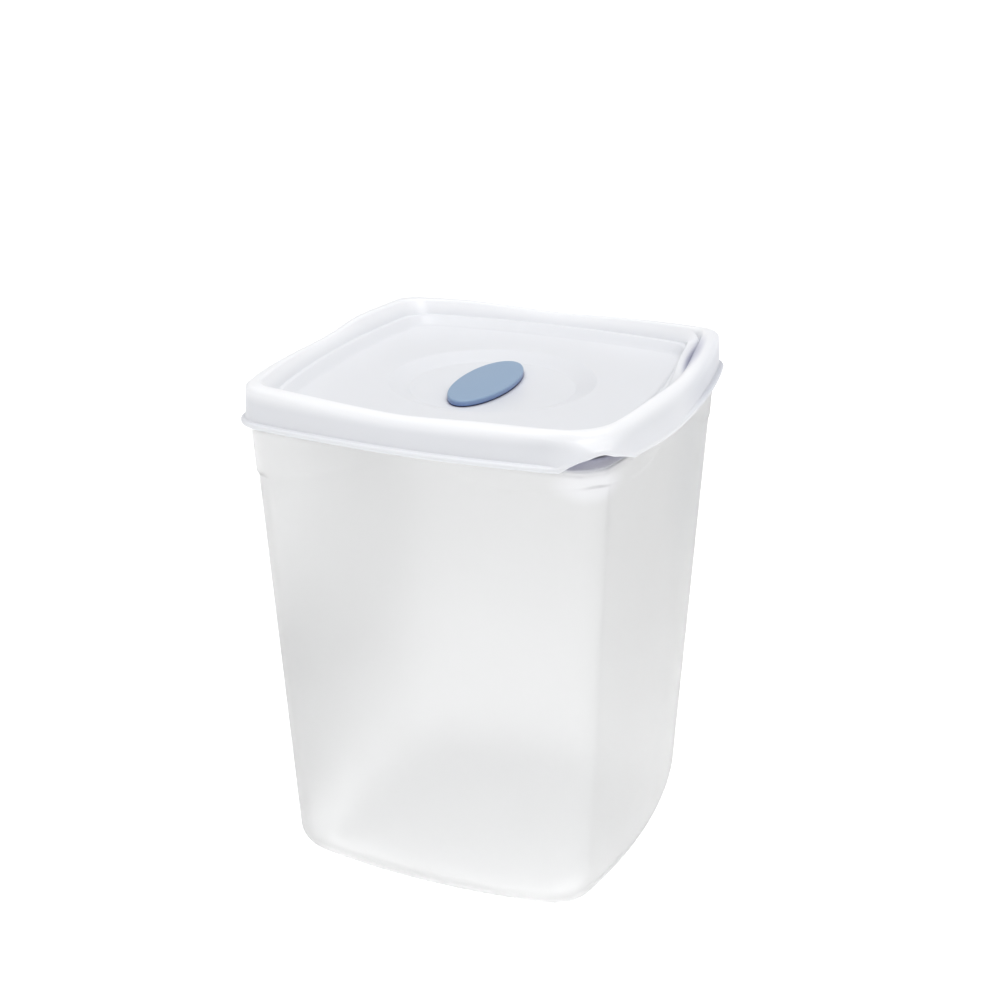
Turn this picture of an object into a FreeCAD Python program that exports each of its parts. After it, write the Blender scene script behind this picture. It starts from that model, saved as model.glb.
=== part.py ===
import FreeCAD
import Part
import Sketcher
import math
import os

# Food canister: a tapered square tub, a press-on lid with a pull corner, and a vent knob that
# turns in the middle of the lid. Millimetres, +Z up, origin under the middle of the foot.
# Every outline is a bowed square: four shallow side arcs joined by four corner arcs. It is given
# by its half width (middle of a side), the radius of its sides and the radius of its corners.

SIZES = {
    # tub
    "foot_half": 60.6, "foot_bow": 200.0, "foot_corner": 14.8, "foot_round": 9.4,
    "wall_half": 65.9, "wall_bow": 380.0, "wall_corner": 10.6, "wall_top": 163.2,
    "mouth_half": 65.8, "mouth_bow": 286.0, "mouth_corner": 12.3, "mouth_level": 171.4,
    "wall_thick": 1.4, "floor_thick": 1.8,
    "floor_half": 47.0, "floor_bow": 160.0, "floor_corner": 14.0, "floor_rise": 1.6,
    "bead_half": 67.1, "bead_base": 168.4, "bead_top": 170.8,
    # corner shoulders under the lid, with an arched lower edge between them
    "shoulder_half": 66.1, "shoulder_taper": 0.55, "shoulder_corner": 8.2, "shoulder_end": 10.2,
    "shoulder_base": 146.0, "arch_top": 163.1, "arch_radius": 113.0,
    # lid
    "lip_half": 70.5, "lip_bow": 290.0, "lip_corner": 12.5, "lip_level": 163.8,
    "lip_thick": 1.6, "lip_reach": 1.6, "lid_thick": 1.3, "skirt_draft": 0.4,
    "crest_corner": 176.5, "crest_middle": 175.0, "crest_dip_radius": 1200.0,
    "recess_half": 64.2, "recess_corner": 9.0, "recess_pull": 18.0,
    "ledge_outer": 60.8, "ledge_inner": 59.4, "ledge_level": 171.2,
    "panel_half": 56.0, "panel_level": 168.2,
    "dish_outer": 35.0, "dish_inner": 28.4, "dish_level": 165.4,
    "plug_half": 64.0, "plug_corner": 12.0, "plug_thick": 1.2, "plug_base": 166.0, "plug_top": 172.5,
    "tab_corner": 4.5, "tab_level": 170.3, "tab_arch_radius": 22.0,
    # vent, a little off the middle of the dish
    "vent_x": -2.1, "vent_y": -0.6, "bore_radius": 4.05, "vent_radius": 2.0, "vent_offset": 15.0,
    "knob_long": 24.2, "knob_short": 9.6, "knob_base": 165.75, "knob_top": 168.0,
    "knob_round": 0.6, "seal_wall": 1.4, "seal_base": 165.45, "seal_top": 166.55,
    "seal_gap": 0.05, "stem_radius": 4.0, "barb_radius": 4.9, "barb_top": 163.9,
    "stem_base": 161.6, "barb_base": 163.0,
}
TALL = 200.0          # longer than anything that is cut through
MARGIN = 1.0          # how far a cutting form runs past the face it opens

doc = FreeCAD.newDocument("canister")
sheet = doc.addObject("Spreadsheet::Sheet", "sizes")
for row, (word, number) in enumerate(SIZES.items(), start=1):
    sheet.set("A%d" % row, word)
    sheet.set("B%d" % row, str(number))
    sheet.setAlias("B%d" % row, word)
doc.recompute()


class Size:
    """A length that knows both its number and the expression that binds it to the sheet."""

    def __init__(self, number, text):
        self.number = number
        self.text = text

    def __add__(self, other):
        other = size(other)
        return Size(self.number + other.number, "(%s + %s)" % (self.text, other.text))

    def __sub__(self, other):
        other = size(other)
        return Size(self.number - other.number, "(%s - %s)" % (self.text, other.text))


def size(thing):
    """Turn a name in the sheet, or a plain number, into a Size."""
    if isinstance(thing, Size):
        return thing
    if isinstance(thing, str):
        return Size(float(getattr(sheet, thing)), "sizes.%s" % thing)
    return Size(float(thing), "%.6f" % thing)


# ---------------------------------------------------------------- sketches and features


def origin_plane(body, role):
    return [part for part in body.Origin.OriginFeatures if part.Role == role][0]


def new_sketch(body, name, role="XY_Plane", level=None):
    sketch = body.newObject("Sketcher::SketchObject", name)
    sketch.AttachmentSupport = [(origin_plane(body, role), "")]
    sketch.MapMode = "FlatFace"
    if level is not None:
        level = size(level)
        sketch.AttachmentOffset = FreeCAD.Placement(FreeCAD.Vector(0, 0, level.number),
                                                    FreeCAD.Rotation())
        sketch.setExpression("AttachmentOffset.Base.z", level.text)
    return sketch


def bind(sketch, index, name, amount):
    """Name a dimension of the sketch and tie it to the sheet."""
    sketch.renameConstraint(index, name)
    sketch.setExpression("Constraints.%s" % name, amount.text)


def add_bowed_square(sketch, half, bow, corner, pull_corner=None, tag=""):
    """Draw a bowed square; the corner at +X, -Y may have a radius of its own."""
    half, bow, corner = size(half), size(bow), size(corner)
    pull = size(pull_corner) if pull_corner is not None else corner
    reach = bow - half
    start = sketch.GeometryCount
    turn = math.pi / 2
    # the corners, anticlockwise from +X,+Y, and each corner arc's centre on its diagonal
    radii = [corner.number, corner.number, corner.number, pull.number]
    spots = []
    for radius in radii:
        span = bow.number - radius
        spots.append((math.sqrt(2 * span ** 2 - reach.number ** 2) - reach.number) / 2)
    for side in range(4):
        before, after = spots[side - 1], spots[side]
        low = -math.atan2(before, before + reach.number)
        high = math.atan2(after, after + reach.number)
        centre = FreeCAD.Vector(-reach.number * math.cos(side * turn),
                                -reach.number * math.sin(side * turn), 0)
        circle = Part.Circle(centre, FreeCAD.Vector(0, 0, 1), bow.number)
        sketch.addGeometry(Part.ArcOfCircle(circle, side * turn + low, side * turn + high))
        away = math.pi / 4 + side * turn
        tilt = turn / 2 - high
        centre = FreeCAD.Vector(after * math.sqrt(2) * math.cos(away),
                                after * math.sqrt(2) * math.sin(away), 0)
        circle = Part.Circle(centre, FreeCAD.Vector(0, 0, 1), radii[side])
        sketch.addGeometry(Part.ArcOfCircle(circle, away - tilt, away + tilt))
    for side in range(4):
        arc = start + 2 * side
        following = start + (2 * side + 2) % 8
        sketch.addConstraint(Sketcher.Constraint("Tangent", arc, 2, arc + 1, 1))
        sketch.addConstraint(Sketcher.Constraint("Tangent", arc + 1, 2, following, 1))
    for side in range(4):
        arc = start + 2 * side
        axis = -1 if side % 2 == 0 else -2
        sketch.addConstraint(Sketcher.Constraint("PointOnObject", arc, 3, axis))
        kind = "DistanceX" if side % 2 == 0 else "DistanceY"
        ends = (arc, 3, -1, 1) if side < 2 else (-1, 1, arc, 3)
        index = sketch.addConstraint(Sketcher.Constraint(kind, *ends, reach.number))
        bind(sketch, index, "%sreach%d" % (tag, side), reach)
        index = sketch.addConstraint(Sketcher.Constraint("Radius", arc, bow.number))
        bind(sketch, index, "%sbow%d" % (tag, side), bow)
        rounding = pull if side == 3 else corner
        index = sketch.addConstraint(Sketcher.Constraint("Radius", arc + 1, rounding.number))
        bind(sketch, index, "%scorner%d" % (tag, side), rounding)


def outline(body, name, level, half, bow, corner, pull_corner=None):
    sketch = new_sketch(body, name, level=level)
    add_bowed_square(sketch, half, bow, corner, pull_corner)
    return sketch


def loft(body, name, sections, cut=False):
    kind = "PartDesign::SubtractiveLoft" if cut else "PartDesign::AdditiveLoft"
    feature = body.newObject(kind, name)
    feature.Profile = sections[0]
    feature.Sections = sections[1:]
    feature.Ruled = True
    feature.Closed = False
    doc.recompute()
    return feature


def pad(body, name, sketch, length):
    feature = body.newObject("PartDesign::Pad", name)
    feature.Profile = sketch
    feature.Length = size(length).number
    feature.setExpression("Length", size(length).text)
    doc.recompute()
    return feature


def pocket(body, name, sketch, length=None, upward=True):
    """Cut a sketch out of the body: a given depth one way, or through it both ways."""
    before = body.Shape.Volume
    feature = body.newObject("PartDesign::Pocket", name)
    feature.Profile = sketch
    if length is None:
        feature.Type = "Length"
        feature.Midplane = True
        feature.Length = 2 * TALL
    else:
        feature.Length = size(length).number
        feature.setExpression("Length", size(length).text)
        feature.Reversed = upward
    doc.recompute()
    if not feature.Shape.Volume < before:
        raise RuntimeError("%s cuts nothing" % name)
    return feature


def revolve(body, name, sketch, cut=False):
    kind = "PartDesign::Groove" if cut else "PartDesign::Revolution"
    feature = body.newObject(kind, name)
    feature.Profile = sketch
    feature.ReferenceAxis = (sketch, ["V_Axis"])
    feature.Angle = 360
    doc.recompute()
    return feature


def round_edges(body, name, radius, chosen):
    """Fillet the edges of the body's last feature that the test picks."""
    base = body.Tip
    names = ["Edge%d" % (number + 1) for number, edge in enumerate(base.Shape.Edges) if chosen(edge)]
    feature = body.newObject("PartDesign::Fillet", name)
    feature.Base = (base, names)
    feature.Radius = size(radius).number
    feature.setExpression("Radius", size(radius).text)
    doc.recompute()
    return feature


def flat_at(level):
    """A test for edges that lie flat at one height."""
    height = size(level).number
    return lambda edge: max(abs(corner.Z - height) for corner in edge.Vertexes) < 0.01


def add_polygon(sketch, points):
    """Draw a closed polygon whose corner coordinates (Sizes) are tied to the sheet."""
    points = [(size(across), size(up)) for across, up in points]
    count = len(points)
    for number in range(count):
        first, last = points[number], points[(number + 1) % count]
        sketch.addGeometry(Part.LineSegment(FreeCAD.Vector(first[0].number, first[1].number, 0),
                                            FreeCAD.Vector(last[0].number, last[1].number, 0)))
    for number in range(count):
        sketch.addConstraint(Sketcher.Constraint("Coincident", number, 2, (number + 1) % count, 1))
    for number, (across, up) in enumerate(points):
        for kind, amount in (("DistanceX", across), ("DistanceY", up)):
            index = sketch.addConstraint(Sketcher.Constraint(kind, -1, 1, number, 1, amount.number))
            bind(sketch, index, "%s%d" % ("across" if kind == "DistanceX" else "up", number), amount)


def add_disc(sketch, radius, across=0.0, up=0.0, tag="disc"):
    radius, across, up = size(radius), size(across), size(up)
    centre = FreeCAD.Vector(across.number, up.number, 0)
    ring = sketch.addGeometry(Part.Circle(centre, FreeCAD.Vector(0, 0, 1), radius.number))
    index = sketch.addConstraint(Sketcher.Constraint("Radius", ring, radius.number))
    bind(sketch, index, tag + "_radius", radius)
    for kind, amount in (("DistanceX", across), ("DistanceY", up)):
        index = sketch.addConstraint(Sketcher.Constraint(kind, -1, 1, ring, 3, amount.number))
        bind(sketch, index, tag + "_" + kind, amount)


def add_ellipse(sketch, long_half, short_half):
    """Draw an ellipse about the origin with its long axis along the sketch's vertical."""
    long_half, short_half = size(long_half), size(short_half)
    oval = sketch.addGeometry(Part.Ellipse(FreeCAD.Vector(0, long_half.number, 0),
                                           FreeCAD.Vector(short_half.number, 0, 0),
                                           FreeCAD.Vector(0, 0, 0)))
    sketch.exposeInternalGeometry(oval)
    major, minor = oval + 1, oval + 2
    sketch.addConstraint(Sketcher.Constraint("Coincident", oval, 3, -1, 1))
    sketch.addConstraint(Sketcher.Constraint("Vertical", major))
    for line, amount, word in ((major, long_half, "long"), (minor, short_half, "short")):
        whole = amount + amount
        index = sketch.addConstraint(Sketcher.Constraint("Distance", line, whole.number))
        bind(sketch, index, word, whole)


def cut_bowl(body, name, role, low_point, radius, top):
    """Cut away everything above a shallow arc whose lowest point is in the middle."""
    low_point, radius, top = size(low_point), size(radius), size(top)
    sketch = new_sketch(body, name + "_sketch", role)
    wide = TALL / 2
    middle = low_point.number + radius.number
    rise = middle - math.sqrt(radius.number ** 2 - wide ** 2)
    swing = math.asin(wide / radius.number)
    circle = Part.Circle(FreeCAD.Vector(0, middle, 0), FreeCAD.Vector(0, 0, 1), radius.number)
    sketch.addGeometry(Part.ArcOfCircle(circle, 1.5 * math.pi - swing, 1.5 * math.pi + swing))
    corners = [FreeCAD.Vector(wide, rise, 0), FreeCAD.Vector(wide, rise + TALL, 0),
               FreeCAD.Vector(-wide, rise + TALL, 0), FreeCAD.Vector(-wide, rise, 0)]
    for first, last in zip(corners, corners[1:]):
        sketch.addGeometry(Part.LineSegment(first, last))
    for first, last in ((0, 1), (1, 2), (2, 3)):
        sketch.addConstraint(Sketcher.Constraint("Coincident", first, 2, last, 1))
    sketch.addConstraint(Sketcher.Constraint("Coincident", 3, 2, 0, 1))
    sketch.addConstraint(Sketcher.Constraint("Vertical", 1))
    sketch.addConstraint(Sketcher.Constraint("Horizontal", 2))
    sketch.addConstraint(Sketcher.Constraint("Vertical", 3))
    sketch.addConstraint(Sketcher.Constraint("PointOnObject", 0, 3, -2))
    index = sketch.addConstraint(Sketcher.Constraint("Radius", 0, radius.number))
    bind(sketch, index, "radius", radius)
    index = sketch.addConstraint(Sketcher.Constraint("DistanceY", -1, 1, 0, 3, middle))
    bind(sketch, index, "middle", low_point + radius)
    sketch.addConstraint(Sketcher.Constraint("DistanceX", -1, 1, 0, 2, wide))
    sketch.addConstraint(Sketcher.Constraint("DistanceY", 1, 1, 1, 2, TALL))
    return pocket(body, name, sketch)


def cut_arch(body, name, role, high_point, radius):
    """Cut a round-topped tunnel through the body, so that what is left stands on its corners."""
    sketch = new_sketch(body, name + "_sketch", role)
    add_disc(sketch, radius, up=size(high_point) - size(radius))
    return pocket(body, name, sketch)


# ---------------------------------------------------------------- the sub-parts


def tub_outside():
    """The tub's outside: corner shoulders, tapered wall, narrower neck, bead and recessed foot."""
    body = doc.addObject("PartDesign::Body", "tub_outside")
    shoulder_low = size("shoulder_half") - "shoulder_taper"
    low = outline(body, "shoulder_low", "shoulder_base", shoulder_low, "wall_bow", "shoulder_end")
    high = outline(body, "shoulder_high", "wall_top", "shoulder_half", "wall_bow", "shoulder_corner")
    loft(body, "shoulders", [low, high])
    for role in ("XZ_Plane", "YZ_Plane"):
        cut_arch(body, "arch_" + role[:2], role, "arch_top", "arch_radius")
    foot = outline(body, "foot", 0.0, "foot_half", "foot_bow", "foot_corner")
    top = outline(body, "wall_high", "wall_top", "wall_half", "wall_bow", "wall_corner")
    loft(body, "wall", [foot, top])
    round_edges(body, "foot_rounding", "foot_round", flat_at(0.0))
    neck = outline(body, "neck_outline", "wall_top", "mouth_half", "mouth_bow", "mouth_corner")
    pad(body, "neck", neck, size("mouth_level") - "wall_top")
    bead = outline(body, "bead_outline", "bead_base", "bead_half", "mouth_bow", "mouth_corner")
    pad(body, "bead", bead, size("bead_top") - "bead_base")
    recess = outline(body, "foot_outline", 0.0, size("floor_half") - "floor_thick",
                     size("floor_bow") - "floor_thick", size("floor_corner") - "floor_thick")
    pocket(body, "foot_recess", recess, "floor_rise")
    return body


def tub_inside():
    """The tub's hollow, as a solid, with the floor's raised panel pressed into its underside."""
    body = doc.addObject("PartDesign::Body", "tub_inside")
    low = outline(body, "hollow_low", "floor_thick", size("foot_half") - "wall_thick",
                  size("foot_bow") - "wall_thick", size("foot_corner") - "wall_thick")
    step = size("wall_top") - "wall_thick"
    high = outline(body, "hollow_high", step, size("wall_half") - "wall_thick",
                   size("wall_bow") - "wall_thick", size("wall_corner") - "wall_thick")
    loft(body, "hollow", [high, low])
    round_edges(body, "hollow_rounding", size("foot_round") - "wall_thick", flat_at("floor_thick"))
    throat = outline(body, "throat_outline", step, size("mouth_half") - "wall_thick",
                     size("mouth_bow") - "wall_thick", size("mouth_corner") - "wall_thick")
    pad(body, "throat", throat, size("mouth_level") - step)
    raised = outline(body, "floor_outline", "floor_thick", "floor_half", "floor_bow", "floor_corner")
    pocket(body, "floor_panel", raised, "floor_rise")
    return body


def lid_form(name, inset):
    """A solid with the lid's outside, or, with an inset, the same form one wall further in."""
    body = doc.addObject("PartDesign::Body", name)
    inset = size(inset)
    solid = inset.number == 0
    skirt = size("lip_half") - "lip_reach" - inset
    bow = size("lip_bow") - "lip_reach" - inset
    corner = size("lip_corner") - "lip_reach" - inset
    pull = size("tab_corner") - inset
    bottom = size("lip_level") if solid else size("lip_level") - MARGIN
    top = size("crest_corner") - inset
    sections = [
        outline(body, name + "_skirt_low", bottom, skirt, bow, corner, pull),
        outline(body, name + "_tab_edge", "tab_level", skirt - "skirt_draft", bow, corner, pull),
        outline(body, name + "_skirt_high", top, skirt - "skirt_draft", bow, corner),
    ]
    loft(body, name + "_block", sections)
    for role in ("XZ_Plane", "YZ_Plane"):
        cut_bowl(body, name + "_dip_" + role[:2], role, size("crest_middle") - inset,
                 "crest_dip_radius", top)
    ledge, panel = size("ledge_level") - inset, size("panel_level") - inset
    hollows = (("recess", (top + MARGIN, "recess_half"), (ledge, "ledge_outer")),
               ("step", (ledge, "ledge_inner"), (panel, "panel_half")))
    for word, *ends in hollows:
        forms = [outline(body, "%s_%s_%s" % (name, word, end), level, size(half) + inset,
                         "lip_bow", "recess_corner", "recess_pull")
                 for end, (level, half) in zip(("high", "low"), ends)]
        loft(body, "%s_%s" % (name, word), forms, cut=True)
    dish = new_sketch(body, name + "_dish_sketch", "XZ_Plane")
    floor = size("dish_level") - inset
    add_polygon(dish, [(0.0, floor), (size("dish_inner") + inset, floor),
                       (size("dish_outer") + inset, panel), (0.0, panel)])
    revolve(body, name + "_dish", dish, cut=True)
    if solid:
        edge = outline(body, name + "_lip", "lip_level", "lip_half", "lip_bow", "lip_corner")
        pad(body, name + "_lip_bead", edge, "lip_thick")
    return body


def plug_fin():
    """The fin under the lid that plugs the tub's mouth: a ring between two bowed squares."""
    body = doc.addObject("PartDesign::Body", "plug")
    sketch = new_sketch(body, "plug_sketch", level="plug_base")
    add_bowed_square(sketch, "plug_half", "lip_bow", "plug_corner", tag="outer_")
    add_bowed_square(sketch, size("plug_half") - "plug_thick", size("lip_bow") - "plug_thick",
                     size("plug_corner") - "plug_thick", tag="inner_")
    pad(body, "plug_pad", sketch, size("plug_top") - "plug_base")
    return body


def put(thing, **spot):
    """Tie an object's position along the named axes to the sheet."""
    for axis, amount in spot.items():
        thing.setExpression("Placement.Base.%s" % axis, size(amount).text)


def cylinder(name, radius, turn=FreeCAD.Rotation()):
    """A round cutter as long as anything it could cut, upright unless it is turned."""
    tool = doc.addObject("Part::Cylinder", name)
    tool.setExpression("Radius", size(radius).text)
    tool.Height = TALL
    tool.Placement = FreeCAD.Placement(FreeCAD.Vector(0, 0, 0), turn)
    return tool


def cut(name, base, tools):
    """Cut the tools out of the base one after the other."""
    shape = base
    for number, tool in enumerate(tools):
        last = number == len(tools) - 1
        result = doc.addObject("Part::Cut", name if last else "%s_stage%d" % (name, number))
        result.Base = shape
        result.Tool = tool
        shape = result
    doc.recompute()
    return shape


def make_tub():
    """The tub: one moulding, its outside less its hollow."""
    return cut("container", tub_outside(), [tub_inside()])


def make_lid():
    """The lid: a shelled form, with the pull corner's arch, the plug fin and the vent's holes."""
    shell = cut("lid_shell", lid_form("lid_outside", 0.0), [lid_form("lid_inside", "lid_thick")])
    # the arch under the pull corner is cut along the diagonal, outside the tub's rim only
    diagonal = FreeCAD.Rotation(FreeCAD.Vector(0, 0, 1), FreeCAD.Vector(1, -1, 0))
    drill = cylinder("arch_drill", "tab_arch_radius", diagonal)
    put(drill, z=size("tab_level") - "tab_arch_radius")
    rim_core = doc.addObject("PartDesign::Body", "rim_core")
    core = outline(rim_core, "rim_core_outline", 0.0, "bead_half", "mouth_bow", "recess_corner")
    pad(rim_core, "rim_core_pad", core, TALL)
    shell = cut("lid_with_arch", shell, [cut("arch_cutter", drill, [rim_core])])
    whole = doc.addObject("Part::Fuse", "lid_with_plug")
    whole.Base = shell
    whole.Tool = plug_fin()
    bore, rear, front = [cylinder(*hole) for hole in (
        ("bore", "bore_radius"), ("vent_rear", "vent_radius"), ("vent_front", "vent_radius"))]
    put(bore, x="vent_x", y="vent_y")
    put(rear, x="vent_x", y=size("vent_y") + "vent_offset")
    put(front, x="vent_x", y=size("vent_y") - "vent_offset")
    return cut("lid", whole, [bore, rear, front])


def make_knob():
    """The vent knob: an oval cap with a rebate for its seal, on a stem that snaps under the lid."""
    body = doc.addObject("PartDesign::Body", "vent_knob")
    put(body, x="vent_x", y="vent_y")
    cap = new_sketch(body, "cap_sketch", level="knob_base")
    add_ellipse(cap, "knob_long", "knob_short")
    pad(body, "cap", cap, size("knob_top") - "knob_base")
    round_edges(body, "cap_rounding", "knob_round", flat_at("knob_top"))
    rebate = new_sketch(body, "rebate_sketch", level="knob_base")
    add_ellipse(rebate, size("knob_long") - "seal_wall", size("knob_short") - "seal_wall")
    pocket(body, "rebate", rebate, size("seal_top") - "knob_base")
    stem = new_sketch(body, "stem_sketch", "XZ_Plane")
    middle = size("knob_top") - "knob_round"
    add_polygon(stem, [(0.0, "stem_base"), (size("stem_radius") - "knob_round", "stem_base"),
                       ("barb_radius", "barb_base"), ("barb_radius", "barb_top"),
                       ("stem_radius", "barb_top"), ("stem_radius", middle), (0.0, middle)])
    revolve(body, "stem", stem)
    return body


def make_seal():
    """The soft oval seal in the knob's rebate, with a hole for the stem."""
    body = doc.addObject("PartDesign::Body", "vent_seal")
    put(body, x="vent_x", y="vent_y")
    sketch = new_sketch(body, "seal_sketch", level="seal_base")
    inset = size("seal_wall") + "seal_gap"
    add_ellipse(sketch, size("knob_long") - inset, size("knob_short") - inset)
    add_disc(sketch, size("stem_radius") + "seal_gap", tag="hole")
    pad(body, "seal", sketch, size("seal_top") - "seal_base")
    return body


SUB_PARTS = [make_tub(), make_lid(), make_knob(), make_seal()]
for part, label in zip(SUB_PARTS, ("container", "lid", "vent_knob", "vent_seal")):
    part.Label = label
doc.recompute()

failed = [thing.Name for thing in doc.Objects if "Invalid" in thing.State or "Error" in thing.State]
if failed:
    raise RuntimeError("these objects failed: %s" % ", ".join(failed))
for part in SUB_PARTS:
    if part.Shape.isNull() or not part.Shape.isValid():
        raise RuntimeError("%s has no valid shape" % part.Label)
    if len(part.Shape.Solids) != 1:
        raise RuntimeError("%s is %d solids" % (part.Label, len(part.Shape.Solids)))

os.makedirs("parts", exist_ok=True)
for part in SUB_PARTS:
    part.Shape.exportStep("parts/%s.step" % part.Label)
    box = part.Shape.BoundBox
    print("%-10s %9.0f mm3  x %.1f..%.1f  y %.1f..%.1f  z %.1f..%.1f" % (
        part.Label, part.Shape.Volume, box.XMin, box.XMax, box.YMin, box.YMax, box.ZMin, box.ZMax))
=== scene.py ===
import bmesh
import bpy
import math
import numpy as np
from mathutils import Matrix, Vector


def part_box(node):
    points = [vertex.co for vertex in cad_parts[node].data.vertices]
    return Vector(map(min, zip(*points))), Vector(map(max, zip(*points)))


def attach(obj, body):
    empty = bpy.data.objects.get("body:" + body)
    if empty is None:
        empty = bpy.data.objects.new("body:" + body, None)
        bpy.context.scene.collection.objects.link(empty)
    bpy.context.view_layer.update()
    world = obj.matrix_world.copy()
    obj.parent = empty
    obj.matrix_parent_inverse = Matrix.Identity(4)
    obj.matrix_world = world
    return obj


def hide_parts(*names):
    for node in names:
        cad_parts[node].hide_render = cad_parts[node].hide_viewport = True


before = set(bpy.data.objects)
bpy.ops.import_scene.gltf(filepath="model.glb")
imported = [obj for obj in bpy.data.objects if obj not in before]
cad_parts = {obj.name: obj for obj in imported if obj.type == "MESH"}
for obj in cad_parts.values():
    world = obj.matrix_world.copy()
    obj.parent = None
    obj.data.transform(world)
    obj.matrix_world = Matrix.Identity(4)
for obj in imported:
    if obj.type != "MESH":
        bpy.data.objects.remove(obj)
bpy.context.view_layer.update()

# Food canister: a frosted tub, a soft white lid with a pull corner, and a blue vent knob.
# Lengths are in millimetres in the shape code and become metres when a mesh is made.

MM = 0.001
JOIN_DISTANCE = 0.0005 * MM


def corners_of(node):
    """The low and the high corner of a CAD node's box, in millimetres."""
    low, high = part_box(node)
    return np.array(low) / MM, np.array(high) / MM


RIM_TOP = corners_of("container")[1][2]
LIP_BASE = corners_of("lid")[0][2]
KNOB_LOW, KNOB_HIGH = corners_of("vent_knob")
SEAL_BASE, SEAL_TOP = [corner[2] for corner in corners_of("vent_seal")]
VENT = (KNOB_LOW[:2] + KNOB_HIGH[:2]) / 2        # the knob turns a little off the lid's middle

# ---------------------------------------------------------------- outlines
# A bowed square has four shallow side arcs and four corner arcs. Every ring of a piece is one
# bowed square (or circle) with the same number of points, so rings join up point by point.

SIDE_STEPS = 36
CORNER_STEPS = 18
POINTS = 4 * (SIDE_STEPS + CORNER_STEPS)
PULL = 3                      # the corner at +X, -Y, counted anticlockwise from +X, +Y


def bowed_square(half, bow, corner, pull=None):
    """Points of a bowed square from its half width, side radius and corner radius."""
    radii = [corner] * 4
    if pull is not None:
        radii[PULL] = pull
    reach = bow - half
    spots = [(math.sqrt(2 * (bow - r) ** 2 - reach ** 2) - reach) / 2 for r in radii]
    points = []
    for side in range(4):
        turn = side * math.pi / 2
        low = -math.atan2(spots[side - 1], spots[side - 1] + reach)
        high = math.atan2(spots[side], spots[side] + reach)
        centre = -reach * np.array([math.cos(turn), math.sin(turn)])
        for angle in np.linspace(turn + low, turn + high, SIDE_STEPS, endpoint=False):
            points.append(centre + bow * np.array([math.cos(angle), math.sin(angle)]))
        away = turn + math.pi / 4
        tilt = math.pi / 4 - high
        centre = spots[side] * math.sqrt(2) * np.array([math.cos(away), math.sin(away)])
        for angle in np.linspace(away - tilt, away + tilt, CORNER_STEPS, endpoint=False):
            points.append(centre + radii[side] * np.array([math.cos(angle), math.sin(angle)]))
    return np.array(points)


def bearings(ring):
    """The direction of each point from the middle, in radians anticlockwise from +X."""
    return np.arctan2(ring[:, 1], ring[:, 0])


def circle(radius, like):
    """A circle whose points lie at the same angles as another ring's."""
    angles = bearings(like)
    return radius * np.column_stack([np.cos(angles), np.sin(angles)])


def smooth(low, high, value):
    """0 below low, 1 above high, and a smooth rise between."""
    share = np.clip((value - low) / (high - low), 0, 1)
    return share * share * (3 - 2 * share)


def bump(value, start, middle, end):
    """0 outside start to end, with a smooth hump of 1 at the middle."""
    return smooth(start, middle, value) * (1 - smooth(middle, end, value))


def mix(first, second, share):
    return first + (second - first) * share


def raise_ring(ring, height):
    """Give a flat ring its heights, one number or one for each point."""
    return np.column_stack([ring, np.broadcast_to(height, (len(ring),))])


def cornerness(ring):
    """0 in the middle of each side, 1 at each corner."""
    return (1 - np.cos(4 * bearings(ring))) / 2


def rounded(nodes, closed):
    """Round the profile of every perimeter point at once.

    nodes is a list of (ring, radius, steps). The profile at one perimeter point runs through that
    point of every ring, and each of its corners is rounded by an exact arc of the radius. Where two
    roundings would meet on a short stretch, both shrink in proportion.
    """
    count = len(nodes)
    rings = [ring for ring, _, _ in nodes]
    ways, lengths = [], []
    for number in range(count):
        step = rings[(number + 1) % count] - rings[number]
        length = np.linalg.norm(step, axis=1, keepdims=True)
        lengths.append(length)
        ways.append(step / length)
    cuts, weights = [], []
    for number, (ring, radius, steps) in enumerate(nodes):
        ended = not closed and number in (0, count - 1)
        cosine = np.clip(-(ways[number - 1] * ways[number]).sum(axis=1, keepdims=True), -0.9999, 0.9999)
        half_inside = np.arccos(cosine) / 2
        radius = np.broadcast_to(np.reshape(radius, (-1, 1)), half_inside.shape)
        flat = ended or steps == 0
        cuts.append(np.zeros_like(half_inside) if flat else radius / np.tan(half_inside))
        weights.append(np.sin(half_inside))
    shares = [np.minimum(1, 0.98 * lengths[number] / (cuts[number] + cuts[(number + 1) % count] + 1e-9))
              for number in range(count)]
    rows = []
    for number, (ring, radius, steps) in enumerate(nodes):
        cut = cuts[number] * np.minimum(shares[number - 1], shares[number])
        if steps == 0 or not cut.any():
            rows.append(ring)
            continue
        start, end = ring - ways[number - 1] * cut, ring + ways[number] * cut
        for share in np.linspace(0, 1, steps + 1):
            a, b, c = (1 - share) ** 2, 2 * share * (1 - share) * weights[number], share ** 2
            rows.append((a * start + b * ring + c * end) / (a + b + c))
    return rows


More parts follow.
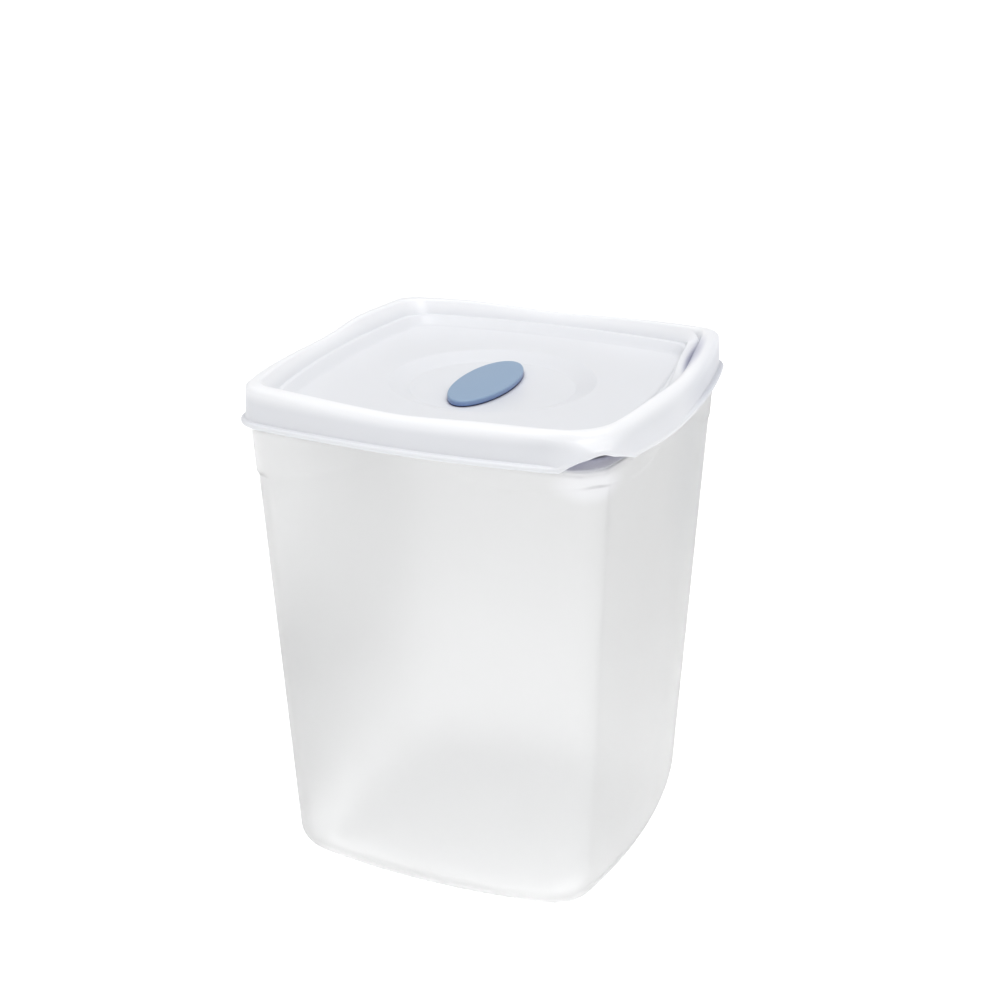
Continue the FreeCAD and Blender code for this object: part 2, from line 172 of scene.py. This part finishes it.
def skin(name, rows, closed=False, cap_first=False, cap_last=False):
    """Make a mesh object from rows of points: quads between rows, fans over the capped ends."""
    count = len(rows[0])
    points = np.concatenate(rows) * MM
    faces = []
    spans = len(rows) if closed else len(rows) - 1
    for row in range(spans):
        here, there = row * count, ((row + 1) % len(rows)) * count
        for point in range(count):
            beside = (point + 1) % count
            faces.append((here + point, here + beside, there + beside, there + point))
    points = list(map(tuple, points))
    for wanted, row, flip in ((cap_first, 0, True), (cap_last, len(rows) - 1, False)):
        if wanted:
            middle = np.mean(rows[row], axis=0) * MM
            points.append(tuple(middle))
            hub = len(points) - 1
            for point in range(count):
                pair = (row * count + point, row * count + (point + 1) % count)
                faces.append((pair[1], pair[0], hub) if flip else (pair[0], pair[1], hub))
    mesh = bpy.data.meshes.new(name)
    mesh.from_pydata(points, [], faces)
    mesh.validate()
    mesh.shade_smooth()
    piece = bpy.data.objects.new(name, mesh)
    bpy.context.scene.collection.objects.link(piece)
    return piece


def face_outwards(piece):
    """Join points that fell together, and turn the mesh's normals out, whichever way its rows ran."""
    work = bmesh.new()
    work.from_mesh(piece.data)
    bmesh.ops.remove_doubles(work, verts=work.verts, dist=JOIN_DISTANCE)
    bmesh.ops.recalc_face_normals(work, faces=work.faces)
    work.to_mesh(piece.data)
    work.free()
    piece.data.shade_smooth()


def drill_hole(piece, middle, radius, low, high):
    """Cut an upright round hole through a piece."""
    mesh = bpy.data.meshes.new("drill")
    work = bmesh.new()
    bmesh.ops.create_cone(work, cap_ends=True, segments=48, radius1=radius * MM, radius2=radius * MM,
                          depth=(high - low) * MM)
    bmesh.ops.translate(work, verts=work.verts, vec=(*(middle * MM), (low + high) / 2 * MM))
    work.to_mesh(mesh)
    work.free()
    tool = bpy.data.objects.new("drill", mesh)
    bpy.context.scene.collection.objects.link(tool)
    modifier = piece.modifiers.new("drill", "BOOLEAN")
    modifier.operation = "DIFFERENCE"
    modifier.solver = "EXACT"
    modifier.object = tool
    graph = bpy.context.evaluated_depsgraph_get()
    drilled = bpy.data.meshes.new_from_object(piece.evaluated_get(graph))
    drilled.set_sharp_from_angle(angle=math.radians(40))
    piece.modifiers.clear()
    piece.data = drilled
    bpy.data.objects.remove(tool)


# ---------------------------------------------------------------- camera and light

SKY_HORIZON, SKY_ZENITH = 0.46, 0.62
SKY_LEAN = 0.25               # how much brighter the sky is on the right, and darker on the left
TABLE_GLOW, TABLE_ALBEDO = 1.18, 0.10
FLOOR_REACH = 12.0            # metres
KEY_SPOT, KEY_AIM = (0.12, -0.3, 1.95), (0, 0, 0.15)
KEY_WIDTH, KEY_POWER = 1.0, 19.5


CAMERA_TURN, CAMERA_TILT = math.radians(23.0), math.radians(22.57)
CAMERA_DISTANCE, CAMERA_AIM = 630.5, 110.0
LENS, SHIFT_X, SHIFT_Y = 64.4, 0.0074, 0.0368


def make_camera():
    """Stand to the front and a little to the right, and look down on the lid."""
    target = Vector((0, 0, CAMERA_AIM)) * MM
    back = Vector((math.sin(CAMERA_TURN) * math.cos(CAMERA_TILT),
                   -math.cos(CAMERA_TURN) * math.cos(CAMERA_TILT), math.sin(CAMERA_TILT)))
    data = bpy.data.cameras.new("camera")
    camera = bpy.data.objects.new("camera", data)
    camera.location = target + back * CAMERA_DISTANCE * MM
    camera.rotation_euler = back.to_track_quat("Z", "Y").to_euler()
    data.sensor_width = 36.0
    data.lens = LENS
    data.shift_x = SHIFT_X
    data.shift_y = SHIFT_Y
    data.clip_start = 0.01
    data.clip_end = 50
    bpy.context.scene.collection.objects.link(camera)
    bpy.context.scene.camera = camera


def make_key_light():
    """One broad light above, a little to the front and the right."""
    data = bpy.data.lights.new("key", "AREA")
    data.shape = "SQUARE"
    data.size = KEY_WIDTH
    data.energy = KEY_POWER
    data.color = (1.0, 0.995, 0.985)
    light = bpy.data.objects.new("key", data)
    light.location = KEY_SPOT
    light.rotation_euler = (Vector(KEY_SPOT) - Vector(KEY_AIM)).to_track_quat("Z", "Y").to_euler()
    bpy.context.scene.collection.objects.link(light)


def make_stage():
    """A glowing white table under a soft white sky that is a little brighter on the right."""
    world = bpy.data.worlds.new("studio")
    bpy.context.scene.world = world
    world.use_nodes = True
    nodes, links = world.node_tree.nodes, world.node_tree.links
    sky = nodes["Background"]
    across, _, up = direction(nodes, links, "Generated")
    climb = spread(nodes, links, up, 0, 1, SKY_HORIZON, SKY_ZENITH)
    lean = spread(nodes, links, across, -1, 1, 1 - SKY_LEAN, 1 + SKY_LEAN)
    links.new(calculate(nodes, links, "MULTIPLY", climb, lean), sky.inputs["Strength"])
    sky.inputs["Color"].default_value = (1.0, 1.0, 1.0, 1)
    mesh = bpy.data.meshes.new("floor")
    mesh.from_pydata([(-FLOOR_REACH, -FLOOR_REACH, 0), (FLOOR_REACH, -FLOOR_REACH, 0),
                      (FLOOR_REACH, FLOOR_REACH, 0), (-FLOOR_REACH, FLOOR_REACH, 0)],
                     [], [(0, 1, 2, 3)])
    floor = bpy.data.objects.new("floor", mesh)
    bpy.context.scene.collection.objects.link(floor)
    material, shader, nodes, links = new_material("pale_floor")
    shader.inputs["Base Color"].default_value = (TABLE_ALBEDO, TABLE_ALBEDO, TABLE_ALBEDO, 1)
    shader.inputs["Emission Color"].default_value = (1, 1, 1, 1)
    shader.inputs["Emission Strength"].default_value = TABLE_GLOW
    shader.inputs["Roughness"].default_value = 0.9
    shader.inputs["Specular IOR Level"].default_value = 0.0
    floor.data.materials.append(material)
    bpy.context.scene.view_settings.view_transform = "Standard"


# ---------------------------------------------------------------- materials


def new_material(name):
    material = bpy.data.materials.new(name)
    material.use_nodes = True
    nodes, links = material.node_tree.nodes, material.node_tree.links
    return material, nodes["Principled BSDF"], nodes, links


def set_input(links, socket, value):
    """Feed a socket from another one, or set it to a number or to a colour's three numbers."""
    if isinstance(value, bpy.types.NodeSocket):
        links.new(value, socket)
    elif isinstance(value, tuple):
        socket.default_value = (*value, 1)
    else:
        socket.default_value = value


def direction(nodes, links, space):
    """The three coordinates of a texture space, such as the part's own frame."""
    place = nodes.new("ShaderNodeTexCoord")
    split = nodes.new("ShaderNodeSeparateXYZ")
    links.new(place.outputs[space], split.inputs["Vector"])
    return split.outputs["X"], split.outputs["Y"], split.outputs["Z"]


def spread(nodes, links, source, start, end, low=0.0, high=1.0, eased=False):
    """Map the range from start to end onto low to high, and hold it there beyond both ends."""
    node = nodes.new("ShaderNodeMapRange")
    node.interpolation_type = "SMOOTHSTEP" if eased else "LINEAR"
    for word, number in (("From Min", start), ("From Max", end), ("To Min", low), ("To Max", high)):
        node.inputs[word].default_value = number
    links.new(source, node.inputs["Value"])
    return node.outputs["Result"]


def calculate(nodes, links, operation, first, second):
    node = nodes.new("ShaderNodeMath")
    node.operation = operation
    links.new(first, node.inputs[0])
    links.new(second, node.inputs[1])
    return node.outputs[0]


def blend(nodes, links, share, first, second, way="MIX"):
    """Mix two colours, each a socket or three numbers."""
    node = nodes.new("ShaderNodeMix")
    node.data_type = "RGBA"
    node.blend_type = way
    set_input(links, node.inputs["Factor"], share)
    set_input(links, node.inputs["A"], first)
    set_input(links, node.inputs["B"], second)
    return [out for out in node.outputs if out.type == "RGBA"][0]


def add_noise(nodes, links, scale, detail=4.0, squash=(1, 1, 1)):
    """A noise texture in the object's own space, so that it is the same from every side."""
    place = nodes.new("ShaderNodeTexCoord")
    stretch = nodes.new("ShaderNodeMapping")
    stretch.inputs["Scale"].default_value = squash
    noise = nodes.new("ShaderNodeTexNoise")
    noise.inputs["Scale"].default_value = scale
    noise.inputs["Detail"].default_value = detail
    links.new(place.outputs["Object"], stretch.inputs["Vector"])
    links.new(stretch.outputs["Vector"], noise.inputs["Vector"])
    return noise.outputs["Fac"]


def add_bump(nodes, links, shader, heights, strength):
    """Lay several height sources over each other as bump; each is (socket, metres)."""
    normal = None
    for source, depth in heights:
        bump = nodes.new("ShaderNodeBump")
        bump.inputs["Strength"].default_value = strength
        bump.inputs["Distance"].default_value = depth
        links.new(source, bump.inputs["Height"])
        if normal is not None:
            links.new(normal, bump.inputs["Normal"])
        normal = bump.outputs["Normal"]
    links.new(normal, shader.inputs["Normal"])


WAVE_DEPTH, GRAIN_DEPTH = 5e-5, 3e-6      # metres


def moulded_plastic(name, light, dark, roughness, grain=None, soft=0.0, soft_scale=0.004):
    """Moulded plastic: slight flow marks in its colour, uneven gloss and a fine skin."""
    material, shader, nodes, links = new_material(name)
    flow = add_noise(nodes, links, 9.0, squash=(1, 1, 3))
    links.new(blend(nodes, links, flow, dark, light), shader.inputs["Base Color"])
    wear = add_noise(nodes, links, 55.0)
    links.new(spread(nodes, links, wear, 0, 1, *roughness), shader.inputs["Roughness"])
    wave = add_noise(nodes, links, 24.0, detail=1.0)
    heights = [(wave, WAVE_DEPTH)]
    if grain is not None:
        heights.append((add_noise(nodes, links, 1500.0, detail=2.0), grain))
    add_bump(nodes, links, shader, heights, 0.5)
    shader.inputs["IOR"].default_value = 1.5
    shader.inputs["Specular IOR Level"].default_value = 0.5
    shader.inputs["Subsurface Weight"].default_value = soft
    shader.inputs["Subsurface Radius"].default_value = (1.0, 0.95, 0.9)
    shader.inputs["Subsurface Scale"].default_value = soft_scale
    return material, shader


def painted(material):
    """A material's nodes and links, its colour socket and what feeds that socket now."""
    nodes, links = material.node_tree.nodes, material.node_tree.links
    colour = nodes["Principled BSDF"].inputs["Base Color"]
    return nodes, links, colour, colour.links[0].from_socket


def paint_shade_by_height(material, low, high, low_tint, high_tint):
    """Multiply a material's colour by a tint that changes with height in the part's own frame, to paint
    shade that varies with height.
    """
    nodes, links, colour, plain = painted(material)
    height = direction(nodes, links, "Object")[2]
    share = spread(nodes, links, height, low * MM, high * MM, eased=True)
    tint = blend(nodes, links, share, low_tint, high_tint)
    links.new(blend(nodes, links, 1.0, plain, tint, "MULTIPLY"), colour)


def shade_crevices(material, reach, tint, shut, full, above=None):
    """Paint shade into what is closely covered by something else, as in the gap under the pull corner.

    A surface as open as full keeps its colour, and one only as open as shut takes the whole tint.
    With above, nothing below those two heights is tinted.
    """
    nodes, links, colour, plain = painted(material)
    side = nodes.new("ShaderNodeNewGeometry")
    either_side = nodes.new("ShaderNodeMix")
    links.new(side.outputs["Backfacing"], either_side.inputs["Factor"])
    for word, inside in (("A", False), ("B", True)):
        cover = nodes.new("ShaderNodeAmbientOcclusion")
        cover.samples = 8
        cover.inside = inside
        cover.inputs["Distance"].default_value = reach
        links.new(cover.outputs["AO"], either_side.inputs[word])
    openness = spread(nodes, links, either_side.outputs["Result"], shut, full)
    if above is not None:
        height = direction(nodes, links, "Object")[2]
        below = spread(nodes, links, height, above[1] * MM, above[0] * MM, eased=True)
        openness = calculate(nodes, links, "MAXIMUM", openness, below)
    links.new(blend(nodes, links, openness, tint, plain), colour)


def paint_light_patch(material, middle, reach, turn, tint):
    """Multiply a material's colour by a tint inside a soft egg-shaped patch, turned about Z: painted
    light where the tint is above one, painted shade where it is below.
    """
    nodes, links, colour, plain = painted(material)
    place = nodes.new("ShaderNodeTexCoord")
    egg = nodes.new("ShaderNodeMapping")
    egg.vector_type = "TEXTURE"
    egg.inputs["Location"].default_value = [length * MM for length in middle]
    egg.inputs["Rotation"].default_value = (0, 0, math.radians(turn))
    egg.inputs["Scale"].default_value = [length * MM for length in reach]
    falloff = nodes.new("ShaderNodeTexGradient")
    falloff.gradient_type = "SPHERICAL"
    links.new(place.outputs["Object"], egg.inputs["Vector"])
    links.new(egg.outputs["Vector"], falloff.inputs["Vector"])
    share = spread(nodes, links, falloff.outputs["Fac"], 0, 0.6, eased=True)
    patch = blend(nodes, links, share, (1.0, 1.0, 1.0), tint)
    links.new(blend(nodes, links, 1.0, plain, patch, "MULTIPLY"), colour)


def frosted_plastic():
    """Natural polypropylene: milky, and clear enough to show the floor through the wall."""
    material, shader = moulded_plastic("frosted_polypropylene", (0.995, 0.998, 1.0),
                                       (0.985, 0.988, 0.990), (0.28, 0.34))
    shader.inputs["Transmission Weight"].default_value = 0.96
    shader.inputs["IOR"].default_value = 1.45
    return material


# ---------------------------------------------------------------- the tub

FOOT_HALF, FOOT_BOW, FOOT_CORNER, FOOT_ROUND = 60.6, 200.0, 14.8, 9.4
WALL_HALF, WALL_BOW, WALL_CORNER, WALL_TOP = 65.9, 380.0, 10.6, 163.2
NECK_HALF, NECK_BOW, NECK_CORNER = 65.8, 286.0, 12.3
WALL, FLOOR = 1.4, 1.8
FLOOR_HALF, FLOOR_BOW, FLOOR_CORNER, FLOOR_RISE = 49.0, 170.0, 13.0, 1.6
SHOULDER_CORNER, SHOULDER_PROUD = 8.2, 0.2
SHOULDER_DROP, PULL_DROP = 17.0, 4.0     # how far a shoulder comes down, and at the pull corner
HUB = 0.04                    # share of a ring's size at the middle of a closed end
BEAD_OUT, BEAD_LOW, BEAD_TOP = 1.3, 168.4, 170.8


def wall_ring(height, inset=0.0, corner=None):
    """The tapered wall's outline at a height, or at a height for each point."""
    share = np.broadcast_to(height / WALL_TOP, (POINTS,))
    corner = WALL_CORNER if corner is None else corner
    foot = bowed_square(FOOT_HALF - inset, FOOT_BOW - inset, FOOT_CORNER - inset)
    top = bowed_square(WALL_HALF - inset, WALL_BOW - inset, corner - inset)
    return raise_ring(mix(foot, top, share[:, None]), height)


def neck_ring(height, inset=0.0):
    """The rim's outline above the wall, where the lid grips."""
    return raise_ring(bowed_square(NECK_HALF - inset, NECK_BOW - inset, NECK_CORNER - inset), height)


def floor_ring(less, height):
    ring = bowed_square(FLOOR_HALF - less, FLOOR_BOW - less, FLOOR_CORNER - less)
    return raise_ring(ring, height)


def shrink(ring, share):
    return ring * np.array([share, share, 1.0])


def make_tub():
    edge = cornerness(wall_ring(0.0))
    around = np.degrees(bearings(wall_ring(0.0)))
    drop = mix(SHOULDER_DROP, PULL_DROP, bump(around, -80, -45, -10))
    low = WALL_TOP - 0.9 - drop * edge ** 0.8
    fade = smooth(0.02, 0.35, edge)[:, None]

    def shoulder(height):
        proud = wall_ring(height, -SHOULDER_PROUD, SHOULDER_CORNER)
        return mix(wall_ring(height), proud, fade)

    inside_low = wall_ring(0.0, WALL)
    inside_low[:, 2] = FLOOR
    nodes = [
        (shrink(floor_ring(FLOOR, FLOOR_RISE), HUB), 0, 0),
        (shrink(floor_ring(FLOOR, FLOOR_RISE), 0.5), 0, 0),
        (floor_ring(FLOOR, FLOOR_RISE), 0.7, 4),
        (floor_ring(FLOOR - 0.6, 0.0), 0.7, 4),
        (wall_ring(0.0), FOOT_ROUND, 14),
    ]
    for height in np.linspace(22, 130, 9):
        nodes.append((wall_ring(np.broadcast_to(height, (POINTS,))), 0, 0))
    nodes += [
        (wall_ring(low - 0.4), 1.2, 4),
        (shoulder(low + 0.9), 1.2, 4),
        (shoulder(WALL_TOP - 0.4), 2.4, 7),
        (neck_ring(WALL_TOP), 0.3, 2),
        (neck_ring(BEAD_LOW), 0.4, 3),
        (neck_ring(BEAD_LOW + 0.6, -BEAD_OUT), 0.7, 4),
        (neck_ring(BEAD_TOP - 0.6, -BEAD_OUT), 0.7, 4),
        (neck_ring(BEAD_TOP), 0.3, 2),
        (neck_ring(RIM_TOP), 0.5, 3),
        (neck_ring(RIM_TOP, WALL), 0.5, 3),
        (neck_ring(WALL_TOP - 1.0, WALL), 0.5, 3),
        (wall_ring(WALL_TOP - 2.2, WALL), 0.8, 3),
    ]
    for height in np.linspace(150, 20, 10):
        nodes.append((wall_ring(np.broadcast_to(height, (POINTS,)), WALL), 0, 0))
    nodes += [
        (inside_low, FOOT_ROUND - WALL, 14),
        (floor_ring(-0.7, FLOOR), 0.6, 4),
        (floor_ring(0.0, FLOOR + FLOOR_RISE), 0.9, 5),
        (shrink(floor_ring(0.0, FLOOR + FLOOR_RISE), 0.5), 0, 0),
        (shrink(floor_ring(0.0, FLOOR + FLOOR_RISE), HUB), 0, 0),
    ]
    tub = skin("tub", rounded(nodes, closed=False), cap_first=True, cap_last=True)
    face_outwards(tub)
    material = frosted_plastic()
    # Painted shade: the tub's wall darkens with height and stays lighter near the glowing floor.
    paint_shade_by_height(material, 15, 100, (0.98, 0.98, 0.98), (0.86, 0.86, 0.86))
    # Painted light: a broad lighter patch over the front-left upper wall.
    paint_light_patch(material, (-62.0, -62.0, 140.0), (60.0, 60.0, 70.0), 0.0, (1.13, 1.13, 1.13))
    # Painted highlight on the shoulder's rounded top at the pull corner.
    paint_light_patch(material, (58.0, -58.0, 158.5), (16.0, 16.0, 7.0), 0.0, (1.13, 1.13, 1.15))
    # Painted shade on the right-hand wall towards the back.
    paint_light_patch(material, (66.0, 45.0, 140.0), (20.0, 60.0, 60.0), 0.0, (0.91, 0.92, 0.93))
    # Painted shade in the neck and ledge where the lid covers them, darkest in the gap under the pull
    # corner.
    shade_crevices(material, 0.030, (0.10, 0.10, 0.20), shut=0.40, full=0.88, above=(162.4, 163.9))
    tub.data.materials.append(material)
    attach(tub, "container")
    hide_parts("container")


# ---------------------------------------------------------------- the lid

LIP_HALF, LIP_BOW, LIP_CORNER = 70.6, 290.0, 12.0
LIP_REACH, SHEET = 1.6, 1.3
CREST_MIDDLE, CREST_CORNER = 175.0, 176.5
RECESS_HALF, LEDGE_OUTER, LEDGE_INNER, PANEL_HALF = 64.2, 60.8, 59.4, 56.0
LEDGE_END = (RECESS_HALF - LEDGE_INNER) / (RECESS_HALF - LEDGE_OUTER)
RECESS_CORNER, RECESS_PULL = 9.0, 18.0
LEDGE, PANEL, DISH = 171.2, 168.2, 165.4
DISH_OUTER, DISH_INNER = 35.5, 28.4
BORE, VENT_HOLE, VENT_REACH = 4.05, 2.0, 15.0
TAB_CORNER, TAB_LIFT = 7.0, 6.7
TAB_RIGHT, TAB_FRONT = 19.5, 16.5      # how far the pull corner's arch runs along each side
PLUG_HALF, PLUG_CORNER, PLUG_THICK, PLUG_BASE = 64.0, 12.0, 1.2, 166.0


def lid_ring(half, pull=None):
    """An outline of the lid whose corners keep their centres as it shrinks."""
    return bowed_square(half, LIP_BOW, LIP_CORNER - (LIP_HALF - half), pull)


def from_pull_corner():
    """Distance along the lip from the pull corner: positive up the right side."""
    ring = lid_ring(LIP_HALF)
    steps = np.linalg.norm(np.roll(ring, -1, axis=0) - ring, axis=1)
    along = np.concatenate([[0], np.cumsum(steps)[:-1]])
    length = steps.sum()
    start = along[PULL * (SIDE_STEPS + CORNER_STEPS) + SIDE_STEPS + CORNER_STEPS // 2]
    return (along - start + length / 2) % length - length / 2


def make_lid():
    along = from_pull_corner()
    corner = cornerness(lid_ring(LIP_HALF))
    around = np.degrees(bearings(lid_ring(LIP_HALF)))
    right = along > 0
    slope = np.where(right, 1 - smooth(28, 84, along), 1 - smooth(12, 32, -along))
    run = np.clip(np.where(right, along / TAB_RIGHT, -along / TAB_FRONT), 0, 1)
    arch = 1 - np.where(right, run ** 1.35, run ** 2)
    bead = np.where(right, smooth(40, 90, along), smooth(15, 21, -along))
    crease = smooth(-5, 34, around) * (1 - smooth(41, 51, around))
    lip = LIP_BASE - 0.2 + TAB_LIFT * arch
    lip += np.where(right, 1.2 * (1 - arch) * (1 - smooth(20, 50, along)), 0)
    lip -= 0.6 * smooth(85, 125, -along) * (1 - smooth(150, 200, -along))
    crest = mix(CREST_MIDDLE, CREST_CORNER, corner ** 0.7) - 0.8 * (1 - smooth(8, 40, np.abs(along)))
    crest += 0.7 * bump(around, 145, 158, 172) - 0.5 * bump(around, 118, 132, 145)
    roll = mix(3.6, 1.2, corner)
    shoulder = crest - mix(roll, 2.4, slope)
    skirt = LIP_HALF - LIP_REACH
    flare = 0.4 * slope

    def outer(half, height, push=0.0, pull_corner=TAB_CORNER):
        base = lid_ring(half, pull=pull_corner)
        ways = base / np.linalg.norm(base, axis=1, keepdims=True)
        return raise_ring(base + ways * np.reshape(push, (-1, 1)), height)

    def recess(half, height, pull_corner):
        return raise_ring(bowed_square(half, LIP_BOW, RECESS_CORNER, pull_corner), height)

    def plug(half, height):
        return raise_ring(bowed_square(half, LIP_BOW, PLUG_CORNER), height)

    def round_ring(radius, height, middle=(0, 0)):
        return raise_ring(circle(radius, lid_ring(LIP_HALF)) + middle, height)

    def recess_wall(share, drop, inward=0.0):
        """Part of the way down the recess's wall, sunk by a crease along the right-hand side."""
        half = mix(RECESS_HALF, LEDGE_OUTER, share)
        height = mix(crest, LEDGE, min(share, 1)) - drop * crease
        return mix(recess(half, height, RECESS_PULL - share),
                   recess(half - inward, height, RECESS_PULL - share), crease[:, None])

    shoulder_ring = outer(skirt - 0.5, shoulder, -1.6 * slope, pull_corner=LIP_CORNER)
    crown = outer(skirt - 2.4, crest - 0.12 * roll, 0.9 * corner - 1.6 * slope,
                  pull_corner=LIP_CORNER)
    nodes = [
        (outer(skirt - SHEET, lip, flare), 0.3, 2),
        (outer(LIP_HALF, lip, flare), 0.7, 4),
        (outer(LIP_HALF, lip + 1.5, flare), 0.7, 4),
        (outer(skirt, lip + 1.9, flare + 1.4 * (1 - bead)), 0.5, 3),
        (shoulder_ring, mix(mix(5.0, 2.6, corner), 6.0, slope), 8),
        (crown, mix(mix(4.0, 2.4, corner), 4.0, slope), 7),
        (recess_wall(0.0, 0.0, 1.7), mix(3.0, 1.0, crease), 8),
        (recess_wall(0.15, 3.6, 1.8), 0.4, 4),
        (recess_wall(0.95, -2.7, 3.3), 0.7, 5),
        (recess_wall(1.0, 0.0, 3.4), 1.8, 5),
        (recess_wall(LEDGE_END, 0.0, 2.6), 1.8, 5),
        (recess(PANEL_HALF, PANEL, RECESS_PULL - 3), 3.0, 6),
        (round_ring(DISH_OUTER, PANEL - 0.1), 2.0, 6),
        (round_ring(DISH_INNER, DISH), 2.0, 5),
        (round_ring(BORE, DISH, VENT), 0.3, 2),
        (round_ring(BORE, DISH - SHEET, VENT), 0.3, 2),
        (round_ring(DISH_INNER + 1, DISH - SHEET), 14.0, 8),
        (round_ring(DISH_OUTER + 1, PANEL - 0.2 - SHEET), 14.0, 8),
        (recess(PANEL_HALF + 1, PANEL - SHEET, RECESS_PULL - 3), 1.6, 5),
        (recess(LEDGE_INNER + 1, LEDGE - SHEET, RECESS_PULL - 2), 1.0, 4),
        (plug(PLUG_HALF - PLUG_THICK, LEDGE - SHEET), 0.4, 2),
        (plug(PLUG_HALF - PLUG_THICK, PLUG_BASE), 0.4, 3),
        (plug(PLUG_HALF, PLUG_BASE), 0.4, 3),
        (plug(PLUG_HALF + 0.2, crest - 2 * SHEET), 0.5, 3),
        (outer(skirt - SHEET - 0.5, shoulder - SHEET, 0.0, pull_corner=LIP_CORNER), 0.8, 4),
    ]
    lid = skin("lid_shell", rounded(nodes, closed=True), closed=True)
    face_outwards(lid)
    for way in (1, -1):
        drill_hole(lid, VENT + [0, way * VENT_REACH], VENT_HOLE, DISH - 4, DISH + 4)
    material, _ = moulded_plastic("white_polyethylene", (0.925, 0.935, 0.965), (0.905, 0.915, 0.95),
                                  (0.30, 0.42), GRAIN_DEPTH, soft=0.25)
    # Painted shade: the lid darkens below the crest, so the crest reads as lit.
    paint_shade_by_height(material, 170.4, 174.8, (0.835, 0.84, 0.85), (1.0, 1.0, 1.0))
    # Painted shadow: a dark violet strip in the crease along the recess's right wall, near the back
    # right corner.
    paint_light_patch(material, (60.7, 36.5, 172.8), (3.8, 28.0, 5.0), 7.5, (0.32, 0.33, 0.47))
    # Painted shade on the skirt towards the back right corner.
    paint_light_patch(material, (67.0, 46.0, 169.0), (14.0, 66.0, 10.0), 9.0, (0.83, 0.84, 0.87))
    # Painted shade in the lid's crevices, such as the underside of the pull corner.
    shade_crevices(material, 0.012, (0.12, 0.12, 0.22), shut=0.12, full=0.75)
    lid.data.materials.append(material)
    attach(lid, "lid")
    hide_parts("lid")


# ---------------------------------------------------------------- the vent


def make_knob():
    half_short, half_long = (KNOB_HIGH[:2] - KNOB_LOW[:2]) / 2
    angles = np.linspace(0, 2 * math.pi, 96, endpoint=False)
    oval = np.column_stack([half_short * np.cos(angles), half_long * np.sin(angles)])
    way = np.column_stack([np.cos(angles), np.sin(angles)])
    top, base = KNOB_HIGH[2], SEAL_BASE + 0.3

    def ring(less, height):
        return raise_ring(oval - less * way + VENT, height)

    def stem(radius, height):
        return raise_ring(radius * way + VENT, height)

    crown = [(raise_ring(oval * share + VENT, top + 0.35 * (1 - share ** 2) - 0.35), 0, 0)
             for share in (0.03, 0.3, 0.55, 0.75, 0.88)]
    nodes = crown + [
        (ring(0.0, top - 0.3), 0.7, 6),
        (ring(0.0, base), 0.3, 3),
        (ring(1.4, base), 0.2, 2),
        (ring(1.4, SEAL_TOP), 0.2, 2),
        (stem(4.0, SEAL_TOP), 0.2, 2),
        (stem(4.0, 163.9), 0.1, 2),
        (stem(4.9, 163.9), 0.2, 2),
        (stem(4.9, 163.0), 0.2, 2),
        (stem(3.4, KNOB_LOW[2]), 0.3, 2),
        (stem(0.2, KNOB_LOW[2]), 0, 0),
    ]
    knob = skin("knob", rounded(nodes, closed=False), cap_first=True, cap_last=True)
    face_outwards(knob)
    material, _ = moulded_plastic("blue_polypropylene", (0.285, 0.395, 0.55), (0.27, 0.38, 0.53),
                                  (0.34, 0.46), GRAIN_DEPTH, soft=0.1, soft_scale=0.002)
    # Painted shade on the knob where it stands close to the dish.
    shade_crevices(material, 0.006, (0.07, 0.14, 0.42), shut=0.10, full=0.95)
    knob.data.materials.append(material)
    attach(knob, "knob")
    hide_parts("vent_knob")


def dress_seal():
    """The CAD seal is right as it is, so it keeps its mesh and gets a silicone finish."""
    material, _ = moulded_plastic("silicone", (0.80, 0.81, 0.82), (0.76, 0.77, 0.78),
                                  (0.5, 0.65), GRAIN_DEPTH, soft=0.2, soft_scale=0.002)
    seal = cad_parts["vent_seal"]
    seal.data.materials.clear()
    seal.data.materials.append(material)


make_camera()
make_key_light()
make_stage()
make_tub()
make_lid()
make_knob()
dress_seal()
